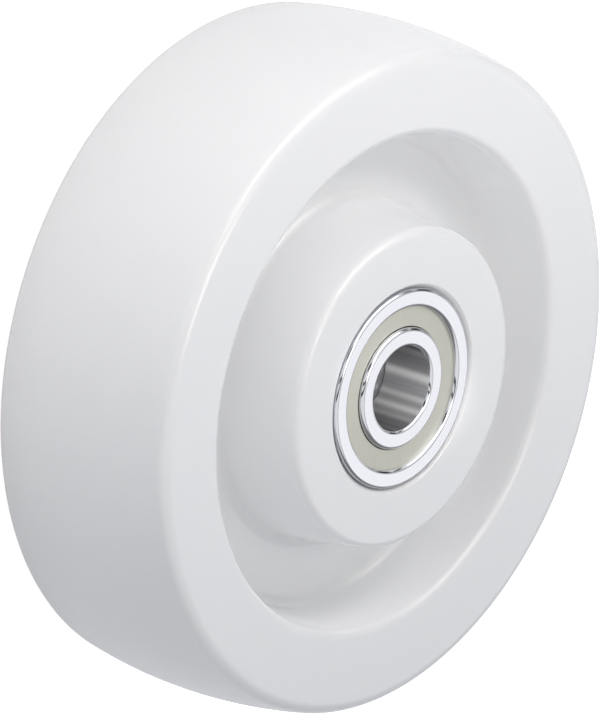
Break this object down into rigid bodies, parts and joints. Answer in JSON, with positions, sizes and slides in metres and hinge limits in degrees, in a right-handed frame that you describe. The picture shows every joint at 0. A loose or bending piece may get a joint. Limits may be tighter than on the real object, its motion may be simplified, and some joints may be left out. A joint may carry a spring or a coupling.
{
  "type": "plastic castor wheel",
  "caption": "Solid white cast nylon castor wheel with a crowned tread, a recessed web and a hub that turns on shielded ball bearings.",
  "frame": {"origin": "the wheel's middle: on the axle line, halfway between the two bearing faces", "axes": "+Z along the axle line, out of the face that the picture shows, so the wheel lies on the other end of its hub; X and Y are alike because the wheel is round"},
  "size_m": [0.16, 0.16, 0.06],
  "materials": {
    "cast_nylon": "cast and turned, satin natural white",
    "turned_steel": "turned and bored tube steel, fine tool lines",
    "ground_bearing_steel": "ground faces, polished corners",
    "shield_sheet": "matt plated pressed sheet",
    "cage_sheet": "pressed strip, riveted",
    "ball_steel": "lapped mirror bright"
  },
  "bodies": {
    "axle_sleeve": {"spacer_tube": "turned_steel", "upper_inner_ring": "ground_bearing_steel", "lower_inner_ring": "ground_bearing_steel"},
    "wheel": {"wheel_body": "cast_nylon", "upper_outer_ring": "ground_bearing_steel", "upper_outside_shield": "shield_sheet", "upper_inside_shield": "shield_sheet", "lower_outer_ring": "ground_bearing_steel", "lower_outside_shield": "shield_sheet", "lower_inside_shield": "shield_sheet"},
    "upper_cage": {"upper_outside_cage_half": "cage_sheet", "upper_inside_cage_half": "cage_sheet", "upper_cage_rivets": "cage_sheet"},
    "upper_ball_1": {"upper_ball_1": "ball_steel"},
    "upper_ball_2": {"upper_ball_2": "ball_steel"},
    "upper_ball_3": {"upper_ball_3": "ball_steel"},
    "upper_ball_4": {"upper_ball_4": "ball_steel"},
    "upper_ball_5": {"upper_ball_5": "ball_steel"},
    "upper_ball_6": {"upper_ball_6": "ball_steel"},
    "upper_ball_7": {"upper_ball_7": "ball_steel"},
    "upper_ball_8": {"upper_ball_8": "ball_steel"},
    "lower_cage": {"lower_outside_cage_half": "cage_sheet", "lower_inside_cage_half": "cage_sheet", "lower_cage_rivets": "cage_sheet"},
    "lower_ball_1": {"lower_ball_1": "ball_steel"},
    "lower_ball_2": {"lower_ball_2": "ball_steel"},
    "lower_ball_3": {"lower_ball_3": "ball_steel"},
    "lower_ball_4": {"lower_ball_4": "ball_steel"},
    "lower_ball_5": {"lower_ball_5": "ball_steel"},
    "lower_ball_6": {"lower_ball_6": "ball_steel"},
    "lower_ball_7": {"lower_ball_7": "ball_steel"},
    "lower_ball_8": {"lower_ball_8": "ball_steel"}
  },
  "joints": [
    {"name": "wheel_spin", "type": "hinge", "parent": "axle_sleeve", "child": "wheel", "pos_m": [0, 0, 0], "axis": [0, 0, 1], "continuous": true},
    {"name": "upper_cage_orbit", "type": "hinge", "parent": "axle_sleeve", "child": "upper_cage", "pos_m": [0, 0, 0.023], "axis": [0, 0, 1], "continuous": true},
    {"name": "upper_ball_1_spin", "type": "hinge", "parent": "upper_cage", "child": "upper_ball_1", "pos_m": [0.01675, 0, 0.023], "axis": [0, 0, 1], "continuous": true},
    {"name": "upper_ball_2_spin", "type": "hinge", "parent": "upper_cage", "child": "upper_ball_2", "pos_m": [0.01184, 0.01184, 0.023], "axis": [0, 0, 1], "continuous": true},
    {"name": "upper_ball_3_spin", "type": "hinge", "parent": "upper_cage", "child": "upper_ball_3", "pos_m": [0, 0.01675, 0.023], "axis": [0, 0, 1], "continuous": true},
    {"name": "upper_ball_4_spin", "type": "hinge", "parent": "upper_cage", "child": "upper_ball_4", "pos_m": [-0.01184, 0.01184, 0.023], "axis": [0, 0, 1], "continuous": true},
    {"name": "upper_ball_5_spin", "type": "hinge", "parent": "upper_cage", "child": "upper_ball_5", "pos_m": [-0.01675, 0, 0.023], "axis": [0, 0, 1], "continuous": true},
    {"name": "upper_ball_6_spin", "type": "hinge", "parent": "upper_cage", "child": "upper_ball_6", "pos_m": [-0.01184, -0.01184, 0.023], "axis": [0, 0, 1], "continuous": true},
    {"name": "upper_ball_7_spin", "type": "hinge", "parent": "upper_cage", "child": "upper_ball_7", "pos_m": [0, -0.01675, 0.023], "axis": [0, 0, 1], "continuous": true},
    {"name": "upper_ball_8_spin", "type": "hinge", "parent": "upper_cage", "child": "upper_ball_8", "pos_m": [0.01184, -0.01184, 0.023], "axis": [0, 0, 1], "continuous": true},
    {"name": "lower_cage_orbit", "type": "hinge", "parent": "axle_sleeve", "child": "lower_cage", "pos_m": [0, 0, -0.023], "axis": [0, 0, 1], "continuous": true},
    {"name": "lower_ball_1_spin", "type": "hinge", "parent": "lower_cage", "child": "lower_ball_1", "pos_m": [0.01675, 0, -0.023], "axis": [0, 0, 1], "continuous": true},
    {"name": "lower_ball_2_spin", "type": "hinge", "parent": "lower_cage", "child": "lower_ball_2", "pos_m": [0.01184, 0.01184, -0.023], "axis": [0, 0, 1], "continuous": true},
    {"name": "lower_ball_3_spin", "type": "hinge", "parent": "lower_cage", "child": "lower_ball_3", "pos_m": [0, 0.01675, -0.023], "axis": [0, 0, 1], "continuous": true},
    {"name": "lower_ball_4_spin", "type": "hinge", "parent": "lower_cage", "child": "lower_ball_4", "pos_m": [-0.01184, 0.01184, -0.023], "axis": [0, 0, 1], "continuous": true},
    {"name": "lower_ball_5_spin", "type": "hinge", "parent": "lower_cage", "child": "lower_ball_5", "pos_m": [-0.01675, 0, -0.023], "axis": [0, 0, 1], "continuous": true},
    {"name": "lower_ball_6_spin", "type": "hinge", "parent": "lower_cage", "child": "lower_ball_6", "pos_m": [-0.01184, -0.01184, -0.023], "axis": [0, 0, 1], "continuous": true},
    {"name": "lower_ball_7_spin", "type": "hinge", "parent": "lower_cage", "child": "lower_ball_7", "pos_m": [0, -0.01675, -0.023], "axis": [0, 0, 1], "continuous": true},
    {"name": "lower_ball_8_spin", "type": "hinge", "parent": "lower_cage", "child": "lower_ball_8", "pos_m": [0.01184, -0.01184, -0.023], "axis": [0, 0, 1], "continuous": true}
  ],
  "couplings": [
    {"joint": "upper_cage_orbit", "follows": "wheel_spin", "ratio": 0.61848},
    {"joint": "upper_ball_1_spin", "follows": "wheel_spin", "ratio": 1.9916},
    {"joint": "upper_ball_2_spin", "follows": "wheel_spin", "ratio": 1.9916},
    {"joint": "upper_ball_3_spin", "follows": "wheel_spin", "ratio": 1.9916},
    {"joint": "upper_ball_4_spin", "follows": "wheel_spin", "ratio": 1.9916},
    {"joint": "upper_ball_5_spin", "follows": "wheel_spin", "ratio": 1.9916},
    {"joint": "upper_ball_6_spin", "follows": "wheel_spin", "ratio": 1.9916},
    {"joint": "upper_ball_7_spin", "follows": "wheel_spin", "ratio": 1.9916},
    {"joint": "upper_ball_8_spin", "follows": "wheel_spin", "ratio": 1.9916},
    {"joint": "lower_cage_orbit", "follows": "wheel_spin", "ratio": 0.61848},
    {"joint": "lower_ball_1_spin", "follows": "wheel_spin", "ratio": 1.9916},
    {"joint": "lower_ball_2_spin", "follows": "wheel_spin", "ratio": 1.9916},
    {"joint": "lower_ball_3_spin", "follows": "wheel_spin", "ratio": 1.9916},
    {"joint": "lower_ball_4_spin", "follows": "wheel_spin", "ratio": 1.9916},
    {"joint": "lower_ball_5_spin", "follows": "wheel_spin", "ratio": 1.9916},
    {"joint": "lower_ball_6_spin", "follows": "wheel_spin", "ratio": 1.9916},
    {"joint": "lower_ball_7_spin", "follows": "wheel_spin", "ratio": 1.9916},
    {"joint": "lower_ball_8_spin", "follows": "wheel_spin", "ratio": 1.9916}
  ]
}
